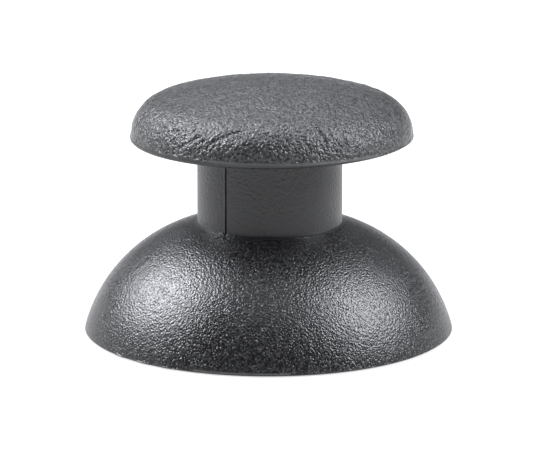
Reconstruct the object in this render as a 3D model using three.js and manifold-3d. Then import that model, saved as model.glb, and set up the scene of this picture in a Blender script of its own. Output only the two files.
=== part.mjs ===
// Thumbstick cap of a game controller, moulded in one piece of dark grey plastic.
// A crowned round head for the thumb stands on a short neck, which runs down into a thin-walled dome.
// The dome is hollow below. A stem hangs in its middle, with a double-D socket for the stick's shaft.
// Millimetres, +Z up. The origin is on the axis, in the plane of the dome's rim.
// The flats of the socket lie along X.

import * as THREE from "three";
import { mergeVertices } from "three/addons/utils/BufferGeometryUtils.js";
import Module from "manifold-3d";

// Overall
const overallHeight = 17.5;

// Head: a wide crown arc and a tight edge arc that ends upright on the parting line, over a rolled lip
const headDiameter = 19.4;
const crownRadius = 27;
const headEdgeRadius = 2.65;
const lipWidth = 2.0;
const lipDepth = 0.57;

// Neck
const neckDiameter = 10.0;
const neckWall = 1.1;
const underHeadFillet = 0.5;
const footFillet = 0.16;

// Dome: one arc, whose centre lies below the rim and off the axis, rounded into a flat rim
const domeDiameter = 25.4;
const domeArcRadius = 10.4;
const domeArcDrop = 2.5;
const domeWall = 1.4;
const rimFillet = 0.26;
const rimInnerChamfer = 0.2;

// Pocket: the ring-shaped space between stem and neck, which keeps every wall thin
const crownSkin = 2.8;
const pocketRoofFillet = 0.3;
const pocketMouthFillet = 0.35;
const draftAngle = THREE.MathUtils.degToRad(0.5);

// Stem, and the socket in it that grips the shaft
const stemDiameter = 5.8;
const stemEndHeight = 2.2;
const stemEndChamfer = 0.2;
const socketAcrossRound = 4.1;
const socketAcrossFlats = 3.1;
const socketDepth = 8.4;
const socketLeadIn = 0.3;

// Gussets: four thin plates that tie the stem to the neck's wall and to the dome's ceiling
const gussetThickness = 0.8;
const gussetReach = 1.8;
const gussetSetback = 1.4;

// Facets of the round forms
const outerFacets = 72;
const innerFacets = 48;
const socketFacets = 28;

// Worked out from the sizes above
const headRadius = headDiameter / 2;
const neckRadius = neckDiameter / 2;
const domeRadius = domeDiameter / 2;
const stemRadius = stemDiameter / 2;
const pocketRadius = neckRadius - neckWall;
const crownCentreDrop = Math.sqrt((crownRadius - headEdgeRadius) ** 2 - (headRadius - headEdgeRadius) ** 2);
const partingHeight = overallHeight - crownRadius + crownCentreDrop;
const undersideHeight = partingHeight - lipDepth;
const rimFilletRadius = domeRadius - rimFillet;
const domeArcReach = Math.sqrt((domeArcRadius - rimFillet) ** 2 - (rimFillet + domeArcDrop) ** 2);
const domeArcOffset = rimFilletRadius - domeArcReach;
const pocketRoofHeight = overallHeight - crownSkin;
const overcut = 1;

const wasm = await Module();
wasm.setup();

// Points of an arc round (x, y), between two angles in radians, both ends included.
function arc(x, y, radius, from, to, steps) {
  const points = [];
  for (let i = 0; i <= steps; i++) {
    const angle = from + ((to - from) * i) / steps;
    points.push(new THREE.Vector2(x + radius * Math.cos(angle), y + radius * Math.sin(angle)));
  }
  return points;
}

// The height of the dome's outside at a radius, or of its ceiling where inset is the wall.
function domeHeightAt(radius, inset) {
  return Math.sqrt((domeArcRadius - inset) ** 2 - (radius - domeArcOffset) ** 2) - domeArcDrop;
}

// The angle on the dome's arc at which it has a radius.
function domeAngleAt(radius, inset) {
  return Math.acos((radius - domeArcOffset) / (domeArcRadius - inset));
}

// A closed geometry as a solid that can be joined and cut.
function solidOf(geometry) {
  const bare = geometry.clone();
  bare.deleteAttribute("normal");
  bare.deleteAttribute("uv");
  const merged = mergeVertices(bare, 1e-5);
  const corners = merged.index.array;
  const kept = [];
  for (let i = 0; i < corners.length; i += 3) {
    const [a, b, c] = [corners[i], corners[i + 1], corners[i + 2]];
    if (a !== b && b !== c && c !== a) kept.push(a, b, c);
  }
  const vertProperties = merged.getAttribute("position").array;
  const triVerts = new Uint32Array(kept);
  return new wasm.Manifold(new wasm.Mesh({ numProp: 3, vertProperties, triVerts }));
}

// A profile of (radius, height) points turned round Z. It leaves the axis below and comes back to it above.
function turned(profile, facets) {
  const geometry = new THREE.LatheGeometry(profile, facets);
  geometry.rotateX(Math.PI / 2);
  return solidOf(geometry);
}

// Rim and dome: the flat rim, its rounded edge and the arc up to the neck's foot, with a small fillet there.
function domeProfile() {
  const rimAngle = Math.atan2(rimFillet + domeArcDrop, domeArcReach);
  const footRadius = neckRadius + footFillet;
  const footHeight = domeHeightAt(footRadius, 0);
  return [
    ...arc(rimFilletRadius, rimFillet, rimFillet, -Math.PI / 2, 0, 4),
    ...arc(domeArcOffset, -domeArcDrop, domeArcRadius, rimAngle, domeAngleAt(footRadius, 0), 11).slice(1),
    ...arc(footRadius, footHeight + footFillet, footFillet, (Math.PI * 4) / 3, Math.PI, 2),
  ];
}

// Head: the fillet under it, the flat underside, the lip's quarter ellipse, the edge arc and the crown.
function headProfile() {
  const filletCentre = neckRadius + underHeadFillet;
  const lip = arc(0, 0, 1, -Math.PI / 2, 0, 5).map(
    (point) =>
      new THREE.Vector2(headRadius - lipWidth + lipWidth * point.x, partingHeight + lipDepth * point.y),
  );
  const edgeCentre = headRadius - headEdgeRadius;
  const edgeAngle = Math.atan2(crownCentreDrop, edgeCentre);
  return [
    ...arc(filletCentre, undersideHeight - underHeadFillet, underHeadFillet, Math.PI, Math.PI / 2, 3),
    ...lip,
    ...arc(edgeCentre, partingHeight, headEdgeRadius, 0, edgeAngle, 7).slice(1),
    ...arc(0, overallHeight - crownRadius, crownRadius, edgeAngle, Math.PI / 2, 5).slice(1, -1),
  ];
}

// Everything that shows from outside, as one filled form.
function outerForm() {
  const base = new THREE.Vector2(0, 0);
  const crownTop = new THREE.Vector2(0, overallHeight);
  return turned([base, ...domeProfile(), ...headProfile(), crownTop], outerFacets);
}

// The hollow below: the dome's inside and the pocket up the neck, round the stem that stays in the middle.
function hollow() {
  const innerArcRadius = domeArcRadius - domeWall;
  const innerRimRadius = domeArcOffset + Math.sqrt(innerArcRadius ** 2 - domeArcDrop ** 2);
  const rimAngle = Math.atan2(domeArcDrop + rimInnerChamfer, innerRimRadius - domeArcOffset);
  const mouthRadius = pocketRadius + pocketMouthFillet;
  const mouthHeight = domeHeightAt(mouthRadius, domeWall);
  const mouthAngle = domeAngleAt(mouthRadius, domeWall);
  const roofRadius = pocketRadius - Math.tan(draftAngle) * (pocketRoofHeight - mouthHeight);
  const roofCentre = roofRadius - pocketRoofFillet;
  const stemRootRadius = stemRadius + Math.tan(draftAngle) * (pocketRoofHeight - stemEndHeight);
  return turned(
    [
      new THREE.Vector2(0, -overcut),
      new THREE.Vector2(innerRimRadius + rimInnerChamfer, -overcut),
      new THREE.Vector2(innerRimRadius + rimInnerChamfer, 0),
      ...arc(domeArcOffset, -domeArcDrop, innerArcRadius, rimAngle, mouthAngle, 9),
      ...arc(mouthRadius, mouthHeight + pocketMouthFillet, pocketMouthFillet, -Math.PI / 2, -Math.PI, 3),
      ...arc(roofCentre, pocketRoofHeight - pocketRoofFillet, pocketRoofFillet, 0, Math.PI / 2, 3),
      new THREE.Vector2(stemRootRadius, pocketRoofHeight),
      new THREE.Vector2(stemRadius, stemEndHeight + stemEndChamfer),
      new THREE.Vector2(stemRadius - stemEndChamfer, stemEndHeight),
      new THREE.Vector2(0, stemEndHeight),
    ],
    innerFacets,
  );
}

// Two gussets in one plate across the axis. Their lower edges slope from the stem out to the ceiling.
function gussetPlate(turn) {
  const stemSide = stemRadius - stemEndChamfer;
  const lowHeight = stemEndHeight + gussetSetback;
  const reach = pocketRadius + gussetReach;
  const reachHeight = domeHeightAt(reach, domeWall);
  const outline = new THREE.Shape();
  outline.moveTo(-stemSide, lowHeight);
  outline.lineTo(stemSide, lowHeight);
  outline.lineTo(reach, reachHeight);
  outline.lineTo(reach, pocketRoofHeight + overcut);
  outline.lineTo(-reach, pocketRoofHeight + overcut);
  outline.lineTo(-reach, reachHeight);
  outline.closePath();
  const plate = new THREE.ExtrudeGeometry(outline, { depth: gussetThickness, bevelEnabled: false });
  plate.translate(0, 0, -gussetThickness / 2);
  plate.rotateX(Math.PI / 2);
  plate.rotateZ(turn);
  return solidOf(plate);
}

// The double-D outline: a circle with two flats, which lie along X.
function doubleD() {
  const radius = socketAcrossRound / 2;
  const corner = Math.asin(socketAcrossFlats / socketAcrossRound);
  const outline = new THREE.Shape();
  outline.absarc(0, 0, radius, -corner, corner, false);
  outline.absarc(0, 0, radius, Math.PI - corner, Math.PI + corner, false);
  outline.closePath();
  return outline;
}

// The socket: a blind double-D hole up the stem, whose mouth widens to lead the shaft in.
function socket() {
  const bore = new THREE.ExtrudeGeometry(doubleD(), {
    depth: overcut + socketDepth,
    bevelEnabled: false,
    curveSegments: socketFacets / 2,
  });
  const mouth = new THREE.ExtrudeGeometry(doubleD(), {
    depth: overcut,
    bevelEnabled: true,
    bevelSegments: 1,
    bevelThickness: socketLeadIn,
    bevelSize: socketLeadIn,
    curveSegments: socketFacets / 2,
  });
  return solidOf(bore)
    .add(solidOf(mouth))
    .translate(0, 0, stemEndHeight - overcut);
}

// A solid as a geometry whose facets keep their own normals.
function geometryOf(solid) {
  const mesh = solid.getMesh();
  const geometry = new THREE.BufferGeometry();
  geometry.setAttribute("position", new THREE.BufferAttribute(new Float32Array(mesh.vertProperties), 3));
  geometry.setIndex(new THREE.BufferAttribute(new Uint32Array(mesh.triVerts), 1));
  const faceted = geometry.toNonIndexed();
  faceted.computeVertexNormals();
  return faceted;
}

const gussets = gussetPlate(0).add(gussetPlate(Math.PI / 2));
const cavity = hollow().subtract(gussets).add(socket());
const cap = outerForm().subtract(cavity);

const darkGreyPlastic = new THREE.MeshStandardMaterial({
  name: "dark_grey_plastic",
  color: new THREE.Color(0x3c3d40),
  roughness: 0.55,
  metalness: 0,
});

const capMesh = new THREE.Mesh(geometryOf(cap), darkGreyPlastic);
capMesh.name = "thumbstick_cap";

const part = new THREE.Group();
part.name = "thumbstick";
part.add(capMesh);

export default part;
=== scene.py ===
"""Thumbstick cap of a game controller: one moulding of dark grey plastic, 25 mm across its dome."""

import math

import bmesh
import bpy
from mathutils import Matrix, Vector
from mathutils.geometry import intersect_point_line


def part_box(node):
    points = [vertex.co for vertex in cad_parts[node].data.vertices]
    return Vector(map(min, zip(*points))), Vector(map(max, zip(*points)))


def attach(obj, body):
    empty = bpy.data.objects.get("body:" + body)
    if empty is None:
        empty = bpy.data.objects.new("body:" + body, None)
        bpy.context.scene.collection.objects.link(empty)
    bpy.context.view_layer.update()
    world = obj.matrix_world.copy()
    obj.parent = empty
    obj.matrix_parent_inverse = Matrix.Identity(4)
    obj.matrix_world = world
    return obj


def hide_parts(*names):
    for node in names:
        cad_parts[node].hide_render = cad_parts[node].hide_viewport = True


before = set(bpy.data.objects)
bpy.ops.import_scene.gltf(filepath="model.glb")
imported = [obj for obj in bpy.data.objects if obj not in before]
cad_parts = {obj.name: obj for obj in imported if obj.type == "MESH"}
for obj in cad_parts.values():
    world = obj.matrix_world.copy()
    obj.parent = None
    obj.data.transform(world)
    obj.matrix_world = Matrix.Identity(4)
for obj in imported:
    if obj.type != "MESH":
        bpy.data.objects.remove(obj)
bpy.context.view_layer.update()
MM = 0.001


# Camera
# A long lens 0.3 m away, which looks along +Y and 14 degrees down on the cap.
photo_width = 540
focal_length_in_pixels = 4391
sensor_width = 36
seen_depths = (0.01, 10)
view_distance = 303.2 * MM
view_elevation = math.radians(13.76)
view_target = Vector((0.1, 0, 7.35)) * MM
view_back = Vector((0, -math.cos(view_elevation), math.sin(view_elevation)))

bpy.ops.object.camera_add(
    location=view_target + view_distance * view_back,
    rotation=(math.pi / 2 - view_elevation, 0, 0),
)
camera = bpy.context.object
camera.data.sensor_width = sensor_width
camera.data.lens = sensor_width * focal_length_in_pixels / photo_width
camera.data.clip_start, camera.data.clip_end = seen_depths
bpy.context.scene.camera = camera
bpy.context.scene.view_settings.view_transform = "Standard"


# Floor
# A sheet of matt pale card with a faint glow from below, so that little of the cap's shadow shows.
floor_side = 4
floor_gap = 0.00002
floor_grey = 0.25
floor_roughness = 0.9
floor_sheen = 0.1
floor_glow = 0.7


class Wire:
    """An output socket in a node tree. Arithmetic on wires adds Math nodes."""

    def __init__(self, tree, socket=None):
        self.tree = tree
        self.socket = socket

    def node(self, kind, settings=(), inputs=(), output=0):
        """Adds a node, sets it up, fills or links its inputs and returns one of its outputs."""
        made = self.tree.nodes.new(kind)
        for name, value in dict(settings).items():
            setattr(made, name, value)
        for key, value in dict(inputs).items():
            if isinstance(value, Wire):
                self.tree.links.new(value.socket, made.inputs[key])
            else:
                made.inputs[key].default_value = value
        return Wire(self.tree, made.outputs[output]) if len(made.outputs) else None

    def spread(self, value, source, target, curve="LINEAR"):
        """A value taken from one range to another, with both ends held."""
        ends = {"Value": value, "From Min": source[0], "From Max": source[1]}
        ends.update({"To Min": target[0], "To Max": target[1]})
        return self.node("ShaderNodeMapRange", {"interpolation_type": curve}, ends)

    def math(self, operation, first, second):
        return self.node("ShaderNodeMath", {"operation": operation}, {0: first, 1: second})

    def __add__(self, other):
        return self.math("ADD", self, other)

    def __mul__(self, other):
        return self.math("MULTIPLY", self, other)

    def __pow__(self, other):
        return self.math("POWER", self, other)

    __radd__ = __add__
    __rmul__ = __mul__


def emptied_tree(owner):
    """The owner's node tree with its nodes taken out, as a wire to add nodes with."""
    owner.use_nodes = True
    owner.node_tree.nodes.clear()
    return Wire(owner.node_tree)


bpy.ops.mesh.primitive_plane_add(size=floor_side, location=(0, 0, -floor_gap))
floor = bpy.context.object
floor.name = "pale_card"
card = bpy.data.materials.new("pale_card")
card_tree = emptied_tree(card)
card_shade = card_tree.node(
    "ShaderNodeBsdfPrincipled",
    inputs={
        "Base Color": (floor_grey, floor_grey, floor_grey, 1),
        "Roughness": floor_roughness,
        "Specular IOR Level": floor_sheen,
        "Emission Color": (1, 1, 1, 1),
        "Emission Strength": floor_glow,
    },
)
card_tree.node("ShaderNodeOutputMaterial", inputs={"Surface": card_shade})
floor.data.materials.append(card)


# Light
# Two large soft boxes stand left and right of the cap, a weaker one lights it from above and behind, and
# a faint one from above and in front. The white room behind the cap fades to dark in front of it.
cool_white = (0.98, 1.0, 1.06)
light_distance = 0.6
room_fade_depths = (-0.5, 0.4)
room_depth_shares = (0.22, 1.0)
room_fade_heights = (0.3, 0.95)
room_strengths = (0.22, 0.32)


def soft_box(name, toward, side, power):
    """A square area light that faces the cap from a direction."""
    direction = Vector(toward).normalized()
    bpy.ops.object.light_add(type="AREA", location=view_target + light_distance * direction)
    light = bpy.context.object
    light.name = name
    light.rotation_euler = direction.to_track_quat("Z", "Y").to_euler()
    light.data.shape = "SQUARE"
    light.data.size = side
    light.data.energy = power
    light.data.color = cool_white


soft_box("soft_box_left", toward=(-0.73, 0.22, 0.65), side=0.33, power=7.6)
soft_box("soft_box_right", toward=(0.75, -0.05, 0.65), side=0.35, power=6.1)
soft_box("soft_box_top", toward=(-0.07, 0.54, 0.84), side=0.36, power=1.8)
soft_box("soft_box_front", toward=(0, -0.35, 0.94), side=0.4, power=0.5)

world = bpy.data.worlds.new("white_room")
bpy.context.scene.world = world
room = emptied_tree(world)
room_direction = room.node("ShaderNodeTexCoord", output="Generated")
room_depth = room.node("ShaderNodeSeparateXYZ", inputs={0: room_direction}, output="Y")
room_height = room.node("ShaderNodeSeparateXYZ", inputs={0: room_direction}, output="Z")
room_back = room.spread(room_depth, room_fade_depths, room_depth_shares, "SMOOTHSTEP")
room_top = room.spread(room_height, room_fade_heights, room_strengths, "SMOOTHSTEP")
room_shade = room.node(
    "ShaderNodeBackground",
    inputs={"Color": (*cool_white, 1), "Strength": room_back * room_top},
)
white_shade = room.node("ShaderNodeBackground", inputs={"Strength": 1.0})
seen_by_camera = room.node("ShaderNodeLightPath", output="Is Camera Ray")
room_mix = room.node("ShaderNodeMixShader", inputs={0: seen_by_camera, 1: room_shade, 2: white_shade})
room.node("ShaderNodeOutputWorld", inputs={"Surface": room_mix})


# Cap
# One shot of dark grey ABS from a mould of five parts: a core below, a plate for the dome, two slides
# round the neck and a top plate for the crown. Its zones follow by the mould part that shapes them.
# They are drawn in millimetres, closed into one skin and brought to metres at the end.
cap_low, cap_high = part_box("thumbstick_cap")
cap_height = (cap_high[2] - cap_low[2]) / MM
dome_radius = (cap_high[0] - cap_low[0]) / 2 / MM
head_radius = 9.7
head_edge_radius = 2.65
crown_radius = 27
head_edge_centre = head_radius - head_edge_radius
crown_centre_drop = math.sqrt((crown_radius - head_edge_radius) ** 2 - head_edge_centre**2)
parting_height = cap_height - crown_radius + crown_centre_drop
seam_left_of_front = 37.3
seam_azimuth = math.radians(-90 - seam_left_of_front)
seam_direction = Vector((math.cos(seam_azimuth), math.sin(seam_azimuth), 0))
merge_distance = 0.008

# Dome and rim
# The dome's plate leaves a spark-eroded grain. Where it closed on the core, a fine flash line with a few
# burrs runs round the rim's rounding. In front, a stretch above it is painted paler: a painted highlight
# where the flash catches the light. The flat rim is smooth.
dome_arc_radius = 10.4
dome_arc_drop = 2.5
dome_wall = 1.4
rim_fillet = 0.26
rim_chamfer = 0.2
rim_flash_angle = -0.35
rim_flash_width = 0.05
rim_burrs = ((-10.13, -7.66), (-8.52, -9.42), (-6.9, -10.66))
burr_reach = 0.25
burr_width = 0.04
flash_highlight_rim_span = (-5, 1.5)
land_radius = 5.26
fine_band = 0.6
dome_segments = 384
dome_step = 0.23
fine_step = 0.08
flat_rim_step = 0.3

rim_fillet_radius = dome_radius - rim_fillet
rim_centre = (rim_fillet_radius, rim_fillet)
rim_flash_height = rim_fillet * (1 + math.sin(rim_flash_angle))
dome_arc_reach = math.sqrt((dome_arc_radius - rim_fillet) ** 2 - (rim_fillet + dome_arc_drop) ** 2)
dome_arc_offset = rim_fillet_radius - dome_arc_reach
dome_centre = (dome_arc_offset, -dome_arc_drop)
rim_angle = math.atan2(rim_fillet + dome_arc_drop, dome_arc_reach)
inner_rim_radius = dome_arc_offset + math.sqrt((dome_arc_radius - dome_wall) ** 2 - dome_arc_drop**2)
rim_inner_radius = inner_rim_radius + rim_chamfer
fine_radius = land_radius + fine_band


def spot(x, z, radius, angle):
    """A point in the profile's plane, at a radius and an angle from a centre."""
    return x + radius * math.cos(angle), z + radius * math.sin(angle)


def arc(x, z, radius, start, end, step):
    """Points of an arc, no farther apart than a step, both ends included."""
    count = max(1, math.ceil(abs(end - start) * radius / step))
    return [spot(x, z, radius, start + (end - start) * i / count) for i in range(count + 1)]


def straight(start, end, step):
    """Points of a straight line, no farther apart than a step, both ends included."""
    count = max(1, math.ceil(math.dist(start, end) / step))
    return [tuple(a + (b - a) * i / count for a, b in zip(start, end)) for i in range(count + 1)]


def joined(*runs):
    """Runs of profile points as one outline, in which no point comes twice."""
    points = [runs[0][0]]
    for point in (point for run in runs for point in run):
        if math.dist(point, points[-1]) > merge_distance:
            points.append(point)
    return points


def dome_height(radius, inset=0):
    """The height of the dome's face at a radius, or of its ceiling where the inset is the wall."""
    return math.sqrt((dome_arc_radius - inset) ** 2 - (radius - dome_arc_offset) ** 2) - dome_arc_drop


def dome_angle(radius, inset=0):
    """The angle on the dome's arc at which it has a radius."""
    return math.acos((radius - dome_arc_offset) / (dome_arc_radius - inset))


def edit(piece):
    """Opens one piece in edit mode with nothing selected in it."""
    bpy.ops.object.select_all(action="DESELECT")
    piece.select_set(True)
    bpy.context.view_layer.objects.active = piece
    bpy.ops.object.mode_set(mode="EDIT")
    bpy.ops.mesh.select_all(action="DESELECT")


def leave():
    bpy.ops.object.mode_set(mode="OBJECT")


def choose(piece, kind, wanted):
    """Selects the vertices, edges or faces of the open piece whose middle is wanted."""
    bpy.ops.mesh.select_mode(type={"verts": "VERT", "edges": "EDGE", "faces": "FACE"}[kind])
    bpy.ops.mesh.select_all(action="DESELECT")
    mesh = bmesh.from_edit_mesh(piece.data)
    for element in getattr(mesh, kind):
        corners = [element] if kind == "verts" else element.verts
        middle = sum((corner.co for corner in corners), Vector()) / len(corners)
        element.select_set(wanted(middle, element))
    mesh.select_flush_mode()
    bmesh.update_edit_mesh(piece.data)


def turned(name, profile, segments, material):
    """A profile of (radius, height) points, drawn vertex by vertex over the seam and spun round Z."""
    places = [radius * seam_direction + Vector((0, 0, height)) for radius, height in profile]
    bpy.ops.object.select_all(action="DESELECT")
    bpy.ops.mesh.primitive_plane_add(size=merge_distance)
    piece = bpy.context.object
    piece.name = name
    bpy.ops.object.mode_set(mode="EDIT")
    bpy.ops.mesh.select_mode(type="VERT")
    bpy.ops.mesh.merge(type="CENTER")
    bpy.ops.transform.translate(value=places[0])
    for here, there in zip(places, places[1:]):
        bpy.ops.mesh.extrude_vertices_move(TRANSFORM_OT_translate={"value": there - here})
    bpy.ops.mesh.select_all(action="SELECT")
    bpy.ops.mesh.spin(steps=segments, angle=math.tau, center=(0, 0, 0), axis=(0, 0, 1))
    bpy.ops.mesh.select_all(action="SELECT")
    bpy.ops.mesh.remove_doubles(threshold=merge_distance)
    leave()
    piece.data.materials.append(material)
    return piece


def finished(piece, material, wanted):
    """Gives one more finish to the faces of a piece whose middle is wanted."""
    piece.data.materials.append(material)
    for face in piece.data.polygons:
        if wanted(face.center):
            face.material_index = len(piece.data.materials) - 1


class Plastic(Wire):
    """The node tree of one mould finish, in millimetres. A Mix node's colours go by number."""

    refraction = 1.54
    first_colour, second_colour, mixed_colour = 6, 7, 2

    def __init__(self, name):
        self.material = bpy.data.materials.new(name)
        super().__init__(emptied_tree(self.material).tree)
        metres = self.node("ShaderNodeTexCoord", output="Object")
        scaling = {0: metres, "Scale": 1 / MM}
        self.place = self.node("ShaderNodeVectorMath", {"operation": "SCALE"}, scaling)

    def noise(self, size, detail=0):
        inputs = {"Vector": self.place, "Scale": 1 / size, "Detail": detail}
        return self.node("ShaderNodeTexNoise", inputs=inputs)

    def craters(self, size):
        inputs = {"Vector": self.place, "Scale": 1 / size}
        return self.node("ShaderNodeTexVoronoi", {"feature": "F1"}, inputs)

    def shade(self, greys, share, roughness, height, depth):
        """The surface: two greys mixed by a share, over a bump of a depth in millimetres."""
        low_grey, high_grey = greys
        mix_inputs = {
            "Factor": share,
            self.first_colour: (*low_grey, 1),
            self.second_colour: (*high_grey, 1),
        }
        colour = self.node("ShaderNodeMix", {"data_type": "RGBA"}, mix_inputs, self.mixed_colour)
        bump = self.node("ShaderNodeBump", inputs={"Distance": depth * MM, "Height": height})
        surface = self.node(
            "ShaderNodeBsdfPrincipled",
            inputs={"Base Color": colour, "Roughness": roughness, "IOR": self.refraction, "Normal": bump},
        )
        self.node("ShaderNodeOutputMaterial", inputs={"Surface": surface})
        return self.material


# The grain's greys follow its height: darker down in the pits as painted shade, lighter on the raised
# tops as wear.
grain_wear_and_pit_shade_greys = ((0.004, 0.004, 0.0041), (0.055, 0.055, 0.056))
grain_roughness = (0.26, 0.31)
smooth_greys = ((0.012, 0.012, 0.0124), (0.022, 0.022, 0.0225))
smooth_roughness = (0.36, 0.42)
# A paler grey for a front stretch along the flash lines of rim and head: a painted highlight on the
# flash.
flash_highlight_greys = ((0.05, 0.05, 0.05), (0.1, 0.1, 0.098))
flash_highlight_roughness = 0.5
patch_range = (0.3, 0.7)
pit_shade_range = (0.35, 0.85)
pit_strength = 1.5
pit_sharpness = 3
crater_strength = 0.5

finish = Plastic("spark_eroded")
patches = finish.noise(size=3, detail=2)
pits = pit_strength * finish.noise(size=0.13, detail=1.5) ** pit_sharpness
pits = pits + crater_strength * finish.craters(size=0.17)
spark_eroded = finish.shade(
    greys=grain_wear_and_pit_shade_greys,
    share=finish.spread(pits, pit_shade_range, (0, 1)),
    roughness=finish.spread(patches, patch_range, grain_roughness),
    height=pits,
    depth=0.045,
)

finish = Plastic("ground_steel")
patches = finish.noise(size=2.5, detail=2)
specks = finish.noise(size=0.2, detail=2)
ground_steel = finish.shade(
    greys=smooth_greys,
    share=patches,
    roughness=finish.spread(patches, patch_range, smooth_roughness),
    height=specks,
    depth=0.05,
)

finish = Plastic("painted_flash_highlight")
specks = finish.noise(size=0.3, detail=2)
painted_flash_highlight = finish.shade(
    greys=flash_highlight_greys,
    share=specks,
    roughness=flash_highlight_roughness,
    height=specks,
    depth=0.05,
)

dome = turned(
    "dome",
    joined(
        straight((rim_inner_radius, 0), (rim_fillet_radius, 0), flat_rim_step),
        arc(*rim_centre, rim_fillet, -math.pi / 2, rim_flash_angle, fine_step),
        [spot(*rim_centre, rim_fillet + rim_flash_width, rim_flash_angle)],
        arc(*rim_centre, rim_fillet, 0, rim_angle, fine_step),
        arc(*dome_centre, dome_arc_radius, rim_angle, dome_angle(fine_radius), dome_step),
        arc(*dome_centre, dome_arc_radius, dome_angle(fine_radius), dome_angle(land_radius), fine_step),
    ),
    dome_segments,
    spark_eroded,
)
finished(dome, ground_steel, lambda middle: middle.z < rim_flash_height)
# In front, just above the rim's flash line, the paler finish is a painted highlight where the flash
# catches light.
finished(
    dome,
    painted_flash_highlight,
    lambda middle: rim_flash_height <= middle.z < rim_fillet
    and flash_highlight_rim_span[0] < middle.x < flash_highlight_rim_span[1],
)
edit(dome)
for x, y in rim_burrs:
    burr = Vector((x, y))
    choose(
        dome,
        "verts",
        lambda place, vertex: (place.xy - burr).length < burr_reach + rim_fillet
        and rim_fillet_radius + merge_distance < place.xy.length
        and place.z < rim_fillet - merge_distance,
    )
    bpy.ops.transform.translate(value=(*(burr_width * burr.normalized()), 0))
leave()

# Neck and lip
# The two slides leave them smooth: the land round the neck's foot, the neck, the head's flat underside
# and the lip, a squarish quarter ellipse that ends in a ledge just under the flash of the parting line.
neck_radius = 5.0
land_rise = 0.12
foot_fillet = 0.05
under_head_fillet = 0.5
lip_width = 2.0
lip_depth = 0.42
lip_squareness = 0.65
lip_steps = 9
ledge_height = 0.02
flash_drop = 0.05
slide_segments = 192
head_segments = 576
land_step = 0.062
foot_step = 0.05
neck_step = 0.25
fillet_step = 0.12
underside_step = 0.5

land_height = dome_height(land_radius)
foot_radius = neck_radius + foot_fillet
foot_height = land_height + land_rise + foot_fillet
underside_height = parting_height - lip_depth
fillet_height = underside_height - under_head_fillet
fillet_radius = neck_radius + under_head_fillet
lip_inner_radius = head_radius - lip_width
lip_height = lip_depth - flash_drop - ledge_height
lip_angles = [math.pi / 2 * i / lip_steps for i in range(lip_steps + 1)]

neck = turned(
    "neck",
    joined(
        straight((land_radius, land_height), (foot_radius, land_height + land_rise), land_step),
        arc(foot_radius, foot_height, foot_fillet, -math.pi / 2, -math.pi, foot_step),
        straight((neck_radius, foot_height), (neck_radius, fillet_height), neck_step),
        arc(fillet_radius, fillet_height, under_head_fillet, math.pi, math.pi / 2, fillet_step),
        straight((fillet_radius, underside_height), (lip_inner_radius, underside_height), underside_step),
    ),
    slide_segments,
    ground_steel,
)
lip = turned(
    "lip",
    [
        (
            lip_inner_radius + lip_width * math.sin(angle) ** lip_squareness,
            underside_height + lip_height * (1 - abs(math.cos(angle)) ** lip_squareness),
        )
        for angle in lip_angles
    ],
    head_segments,
    ground_steel,
)

# Crown
# The top plate's leather grain. From the flash on the parting line the edge arc leads into the wide arc,
# drawn in bands that have half as many segments each, so that the facets stay even toward the axis.
flash_width = 0.03
flash_foot = 0.02
flash_height = 0.11
flash_highlight_head_span = (-4.3, 7.2)
band_limits = (4.8, 2.4, 1.2, 0.6, 0)
band_slack = 0.05
crown_step = 0.108
pore_shade_range = (0.6, 0.95)


def split_ring(piece, radius, height, cuts):
    """Cuts each edge of a piece's border ring, so that it meets a ring of more segments."""

    def on_ring(vertex):
        return math.dist((vertex.co.xy.length, vertex.co.z), (radius, height)) < merge_distance

    edit(piece)
    choose(
        piece,
        "edges",
        lambda middle, edge: edge.is_boundary and all(on_ring(vertex) for vertex in edge.verts),
    )
    bpy.ops.mesh.subdivide(number_cuts=cuts)
    leave()


finish = Plastic("leather_grain")
patches = finish.noise(size=1.5, detail=2)
pores = finish.noise(size=0.17, detail=2) + crater_strength * finish.craters(size=0.24)
# The leather's greys follow its pores as on the dome: painted shade in the hollows, wear on the raised
# tops.
leather_grain = finish.shade(
    greys=grain_wear_and_pit_shade_greys,
    share=finish.spread(pores, pore_shade_range, (0, 1)),
    roughness=finish.spread(patches, patch_range, grain_roughness),
    height=pores,
    depth=0.12,
)

edge_angle = math.atan2(crown_centre_drop, head_edge_centre)
outer = joined(
    [
        (head_radius + flash_width, parting_height - flash_drop),
        (head_radius + flash_width, parting_height + flash_foot),
        (head_radius, parting_height + flash_height),
    ],
    arc(head_edge_centre, parting_height, head_edge_radius, 0, edge_angle, crown_step)[2:],
    arc(0, cap_height - crown_radius, crown_radius, edge_angle, math.pi / 2, crown_step),
)
crown_bands = []
band_segments = head_segments
for limit in band_limits:
    cut = next(i for i, (radius, height) in enumerate(outer) if radius <= limit + band_slack)
    band = turned(f"crown_{band_segments}", outer[: cut + 1], band_segments, leather_grain)
    if crown_bands:
        split_ring(band, *outer[0], cuts=1)
    crown_bands.append(band)
    outer = outer[cut:]
    band_segments //= 2

# Core side
# The core shapes the dome's inside, the drafted pocket up the neck and the stem with its double-D socket.
# It is modelled as the solid core, with slots for the four gussets and a pin for the socket, and turned
# inside out.
neck_wall = 1.1
crown_skin = 2.8
draft = math.tan(math.radians(0.5))
pocket_roof_fillet = 0.3
pocket_mouth_fillet = 0.35
stem_radius = 2.9
stem_end = 2.2
stem_chamfer = 0.2
gusset_thickness = 0.8
gusset_reach = 1.8
gusset_setback = 1.4
socket_across_round = 4.1
socket_across_flats = 3.1
socket_depth = 8.4
socket_lead_in = 0.3
socket_segments = 48
core_segments = 128
core_step = 0.5
overcut = 1
downward = -0.9

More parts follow.
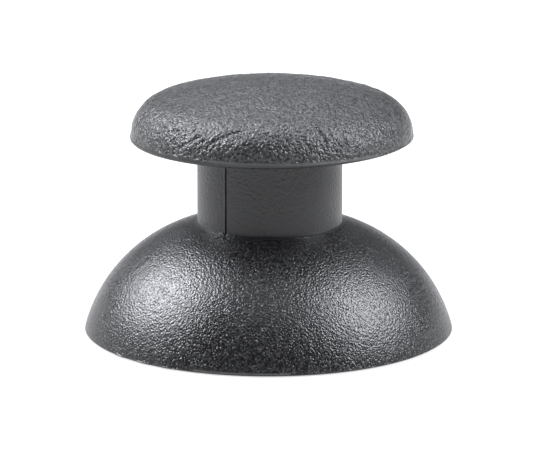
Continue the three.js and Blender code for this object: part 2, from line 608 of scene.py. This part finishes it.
core_arc = dome_arc_radius - dome_wall
chamfer_angle = math.atan2(dome_arc_drop + rim_chamfer, inner_rim_radius - dome_arc_offset)
ceiling_radius = neck_radius - neck_wall
mouth_radius = ceiling_radius + pocket_mouth_fillet
mouth_height = dome_height(mouth_radius, dome_wall)
mouth_angle = dome_angle(mouth_radius, dome_wall)
mouth_centre = (mouth_radius, mouth_height + pocket_mouth_fillet)
roof_height = cap_height - crown_skin
roof_radius = ceiling_radius - draft * (roof_height - mouth_height) - pocket_roof_fillet
roof_centre = (roof_radius, roof_height - pocket_roof_fillet)
gusset_low = stem_end + gusset_setback
gusset_top = roof_height + overcut
gusset_radius = ceiling_radius + gusset_reach
gusset_rise = dome_height(gusset_radius, dome_wall) - gusset_low
stem_side = stem_radius - stem_chamfer


def shaped(piece, operation, tool):
    """Joins a tool to a piece or cuts it out, and takes the tool away."""
    modifier = piece.modifiers.new(operation, "BOOLEAN")
    modifier.operation = operation
    modifier.object = tool
    bpy.context.view_layer.objects.active = piece
    bpy.ops.object.modifier_apply(modifier=modifier.name)
    bpy.data.objects.remove(tool)


def bisected(piece, place, outward):
    """Cuts off what lies beyond a plane and closes the cut."""
    edit(piece)
    bpy.ops.mesh.select_all(action="SELECT")
    bpy.ops.mesh.bisect(plane_co=place, plane_no=outward, use_fill=True, clear_outer=True)
    leave()


core = turned(
    "core",
    joined(
        [(0, -overcut), (rim_inner_radius, -overcut), (rim_inner_radius, 0)],
        arc(*dome_centre, core_arc, chamfer_angle, mouth_angle, core_step),
        arc(*mouth_centre, pocket_mouth_fillet, -math.pi / 2, -math.pi, fillet_step),
        arc(*roof_centre, pocket_roof_fillet, 0, math.pi / 2, fillet_step),
        [
            (stem_radius + draft * (roof_height - stem_end), roof_height),
            (stem_radius, stem_end + stem_chamfer),
            (stem_side, stem_end),
            (0, stem_end),
        ],
    ),
    core_segments,
    ground_steel,
)
for turn in (0, math.pi / 2):
    bpy.ops.mesh.primitive_cube_add(size=1)
    gusset = bpy.context.object
    bpy.ops.transform.resize(value=(2 * gusset_radius, gusset_thickness, gusset_top - gusset_low))
    bpy.ops.transform.translate(value=(0, 0, (gusset_top + gusset_low) / 2))
    bpy.ops.object.transform_apply(location=True, rotation=True, scale=True)
    for side in (-1, 1):
        slope = (side * gusset_rise, 0, stem_side - gusset_radius)
        bisected(gusset, (side * stem_side, 0, gusset_low), slope)
    gusset.rotation_euler.z = turn
    shaped(core, "DIFFERENCE", gusset)

bpy.ops.object.select_all(action="DESELECT")
bpy.ops.mesh.primitive_cylinder_add(
    vertices=socket_segments,
    radius=socket_across_round / 2,
    depth=socket_depth - socket_lead_in,
    location=(0, 0, stem_end + (socket_depth + socket_lead_in) / 2),
)
pin = bpy.context.object
bpy.ops.object.transform_apply(location=True)
for side in (-1, 1):
    bisected(pin, (0, side * socket_across_flats / 2, 0), (0, side, 0))
edit(pin)
choose(pin, "faces", lambda middle, face: face.normal.z < downward)
bpy.ops.mesh.extrude_region_move(TRANSFORM_OT_translate={"value": (0, 0, -socket_lead_in)})
bpy.ops.transform.resize(
    value=(
        1 + 2 * socket_lead_in / socket_across_round,
        1 + 2 * socket_lead_in / socket_across_flats,
        1,
    )
)
bpy.ops.mesh.extrude_region_move(TRANSFORM_OT_translate={"value": (0, 0, -overcut)})
leave()
shaped(core, "UNION", pin)
edit(core)
choose(core, "faces", lambda middle, face: middle.z < -merge_distance)
bpy.ops.mesh.delete(type="FACE")
bpy.ops.mesh.select_all(action="SELECT")
bpy.ops.mesh.flip_normals()
leave()

# Seam
# Where the two slides meet, in front and behind, they leave a fine ridge up the neck with a groove beside
# it. The edge that the neck's profile was drawn on is bevelled, and the new edges are moved in and out.
seam_width = 0.11
seam_height = 0.07
seam_depth = 0.09
seam_cuts = 4
seam_lift = 0.02
seam_rises = ((-seam_width / 2, seam_height / 2), (0, seam_height), (seam_width / 2, -seam_depth))


def on_seam(place, aside=0):
    """Whether a place on the neck lies over the seam, or at a distance aside from it."""
    return (
        abs(seam_direction.cross(place).z - aside) < merge_distance
        and land_height + seam_lift < place.z < fillet_height
    )


edit(neck)
choose(neck, "edges", lambda middle, edge: on_seam(middle))
bpy.ops.mesh.bevel(offset=seam_width, segments=seam_cuts, affect="EDGES")
for side in (-1, 1):
    for aside, rise in seam_rises:
        choose(
            neck,
            "verts",
            lambda place, vertex: on_seam(place, aside) and side * place.dot(seam_direction) > 0,
        )
        bpy.ops.transform.translate(value=side * rise * seam_direction)
leave()

# Register of the mould
# The slides stand a little to the right of the dome's plate, their lip a little farther and out of level.
# Borders that meet in the closed skin get the same number of segments first.
slide_shift = 0.085
lip_shift = 0.175
lip_tilt = 0.005

split_ring(core, rim_inner_radius, 0, dome_segments // core_segments - 1)
split_ring(neck, land_radius, land_height, dome_segments // slide_segments - 1)
split_ring(neck, lip_inner_radius, underside_height, head_segments // slide_segments - 1)
for zone in (neck, lip):
    edit(zone)
    choose(zone, "verts", lambda place, vertex: place.z > land_height + merge_distance)
    bpy.ops.transform.translate(value=(slide_shift, 0, 0))
    choose(
        zone,
        "verts",
        lambda place, vertex: place.xy.length > lip_inner_radius - slide_shift - merge_distance,
    )
    bpy.ops.transform.translate(value=(lip_shift - slide_shift, 0, 0))
    bpy.ops.transform.rotate(value=lip_tilt, orient_axis="Y", center_override=(0, 0, underside_height))
    leave()

# Leather of the crown
# The plate's pattern is pressed into the crown's skin: folds and welts, then cells and fine creases that
# fade toward the parting line. The top plate stands farther right than the slides, and slightly tilted.
head_folds = (
    (
        (-7.52, -5.0, 15.56),
        (-7.36, -5.48, 15.39),
        (-7.19, -5.87, 15.23),
        (-6.77, -6.2, 15.37),
        (-6.25, -6.59, 15.49),
    ),
    ((-5.04, -6.91, 15.98), (-5.07, -7.29, 15.71), (-5.38, -7.42, 15.39), (-5.73, -7.25, 15.29)),
    ((-6.2, -7.35, 14.46), (-5.58, -7.68, 14.82), (-5.17, -7.77, 15.16), (-4.76, -7.92, 15.29)),
    ((-4.75, -8.35, 14.49), (-4.69, -8.2, 14.94), (-4.55, -8.15, 15.14)),
    ((-4.27, -8.43, 14.92), (-3.32, -8.56, 15.37), (-2.71, -8.54, 15.64), (-2.03, -8.5, 15.85)),
    ((2.9, -8.0, 16.01), (3.13, -8.26, 15.77), (3.39, -8.51, 15.41), (3.56, -8.62, 15.16)),
    ((2.06, -8.91, 15.43), (2.29, -9.09, 15.06), (2.52, -9.16, 14.8)),
    ((4.8, -7.95, 15.22), (5.0, -8.07, 14.83)),
)
head_welts = (
    ((-3.04, -9.13, 14.45), (-2.63, -9.16, 14.74), (-2.02, -9.07, 15.2)),
    ((4.53, -8.21, 15.07), (4.94, -8.13, 14.78), (5.21, -8.07, 14.49)),
    ((4.73, -8.38, 14.42), (5.41, -8.03, 14.07)),
)
grain_fade = 0.1
edge_grain = 0.25
crown_shift = 0.165
crown_tilt = 0.0057
smooth_angle = math.radians(35)


def made_one(zones, name):
    """Joins zones into one piece with its vertices selected, and leaves it open."""
    bpy.ops.object.select_all(action="DESELECT")
    for zone in zones:
        zone.select_set(True)
    bpy.context.view_layer.objects.active = zones[0]
    bpy.ops.object.join()
    piece = bpy.context.object
    piece.name = piece.data.name = name
    edit(piece)
    bpy.ops.mesh.select_mode(type="VERT")
    bpy.ops.mesh.select_all(action="SELECT")
    return piece


def made_whole(zones, name):
    """Joins zones whose borders meet into one smooth skin."""
    piece = made_one(zones, name)
    bpy.ops.mesh.remove_doubles(threshold=merge_distance)
    bpy.ops.mesh.normals_make_consistent(inside=False)
    leave()
    bpy.ops.object.shade_smooth_by_angle(angle=smooth_angle)
    return piece


def displaced(piece, name, group, depth, middle, texture=None):
    """Moves the skin of a piece along its normals by a depth, within a vertex group."""
    modifier = piece.modifiers.new(name, "DISPLACE")
    modifier.texture = texture
    modifier.strength = depth
    modifier.mid_level = middle
    modifier.vertex_group = group
    bpy.context.view_layer.objects.active = piece
    bpy.ops.object.modifier_apply(modifier=modifier.name)


def folded(piece, name, lines, width, depth):
    """Raises a piece along lines of points, or sinks it where the depth is negative."""
    group = piece.vertex_groups.new(name=name)
    stretches = [stretch for line in lines for stretch in zip(line, line[1:])]
    for vertex in piece.data.vertices:
        for start, end in stretches:
            near, along = intersect_point_line(vertex.co, Vector(start), Vector(end))
            near = Vector(start).lerp(Vector(end), min(max(along, 0), 1))
            share = 1 - (vertex.co - near).length / width
            if share > 0:
                group.add([vertex.index], share, "REPLACE")
    displaced(piece, name, name, depth, middle=0)


def pressed(piece, group, kind, size, depth, middle=0.5, **settings):
    """Presses a texture into the vertex group of a piece."""
    texture = bpy.data.textures.new(kind, kind)
    texture.noise_scale = size
    for name, value in settings.items():
        setattr(texture, name, value)
    displaced(piece, kind, group, depth, middle, texture)


crown = made_whole(crown_bands, "crown")
# In front, the band just above the head's flash gets the paler finish: a painted highlight on the flash.
finished(
    crown,
    painted_flash_highlight,
    lambda middle: flash_highlight_head_span[0] < middle.x < flash_highlight_head_span[1]
    and middle.z < parting_height + flash_height,
)
folded(crown, "folds", head_folds, width=0.17, depth=-0.1)
folded(crown, "welts", head_welts, width=0.17, depth=0.06)
grain = crown.vertex_groups.new(name="grain")
for vertex in crown.data.vertices:
    rise = (vertex.co.z - parting_height - flash_foot) / grain_fade
    grain.add([vertex.index], min(max(rise, edge_grain), 1), "REPLACE")
pressed(crown, "grain", "CLOUDS", size=1.3, depth=0.09, noise_depth=1)
pressed(crown, "grain", "VORONOI", size=0.5, depth=0.055, middle=0.2, weight_1=-1, weight_2=1)
pressed(crown, "grain", "CLOUDS", size=0.3, depth=0.03, noise_depth=1)
crown.rotation_euler.y = crown_tilt
crown.location.x = crown_shift
bpy.ops.object.transform_apply(location=True, rotation=True)

# Foot of the seam, and the closed skin
# Where the seam runs out on the dome it leaves a small forked mark. Then everything below the parting
# line is bridged to the crown's flash, which closes the one piece.
foot_folds = (
    ((-2.97, -4.0, 7.68), (-3.05, -4.2, 7.59), (-3.34, -4.33, 7.52), (-3.5, -4.39, 7.48)),
    ((-2.97, -4.0, 7.68), (-2.93, -4.35, 7.58), (-2.8, -4.69, 7.52)),
)
foot_welts = (((-3.12, -4.4, 7.55), (-3.1, -4.6, 7.5)),)

below = made_whole([dome, neck, lip, core], "below")
folded(below, "foot_folds", foot_folds, width=0.12, depth=-0.08)
folded(below, "foot_welts", foot_welts, width=0.15, depth=0.06)
cap = made_one([below, crown], "cap_moulding")
choose(cap, "edges", lambda middle, edge: edge.is_boundary)
bpy.ops.mesh.bridge_edge_loops()
bpy.ops.mesh.faces_shade_smooth()
bpy.ops.mesh.region_to_loop()
bpy.ops.mesh.mark_sharp()
bpy.ops.mesh.select_all(action="SELECT")
bpy.ops.mesh.normals_make_consistent(inside=False)
leave()
cap.scale = (MM, MM, MM)
bpy.ops.object.transform_apply(scale=True)

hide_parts("thumbstick_cap")
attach(cap, "root")

bpy.context.view_layer.update()
